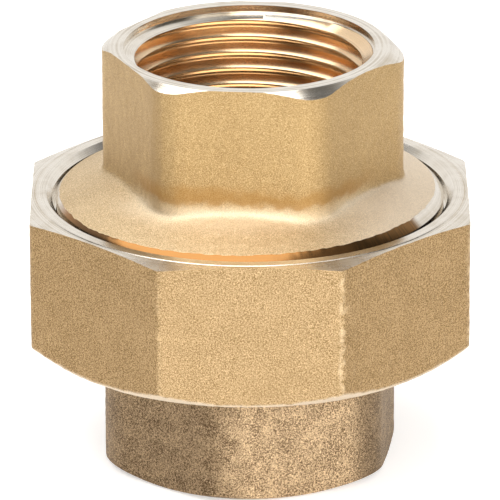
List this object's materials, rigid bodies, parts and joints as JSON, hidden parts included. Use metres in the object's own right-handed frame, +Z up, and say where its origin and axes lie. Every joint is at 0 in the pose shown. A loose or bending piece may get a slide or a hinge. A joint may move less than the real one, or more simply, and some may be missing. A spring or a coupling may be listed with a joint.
{
  "type": "pipe union",
  "caption": "Straight brass pipe union with female pipe threads at both ends, joined by an octagonal union nut over a nose sealed with an O-ring.",
  "frame": {"origin": "centre of the lower body's bottom face, on the union's axis", "axes": "+Z up along the union's axis, from the lower body to the upper body; -Y is the front, square to one flat of the nut"},
  "size_m": [0.047, 0.047, 0.0462],
  "materials": {
    "lower_brass": "coarse shot-blasted forging, darker",
    "seal_rubber": "satin black",
    "nut_brass": "coarse shot-blasted forging with turned faces",
    "upper_brass": "fine shot-blasted forging with turned faces and threads"
  },
  "bodies": {
    "tailpiece": {"lower_body": "lower_brass", "seal_ring": "seal_rubber"},
    "nut": {"union_nut": "nut_brass"},
    "head": {"upper_body": "upper_brass"}
  },
  "joints": [
    {"name": "nut_turn", "type": "hinge", "parent": "tailpiece", "child": "nut", "pos_m": [0, 0, 0.022], "axis": [0, 0, -1], "range_deg": [0, 1170]},
    {"name": "head_lift", "type": "slide", "parent": "tailpiece", "child": "head", "axis": [0, 0, 1], "range_m": [0, 0.00751]}
  ],
  "couplings": [
    {"joint": "head_lift", "follows": "nut_turn", "m_per_rad": 0.00036749}
  ]
}
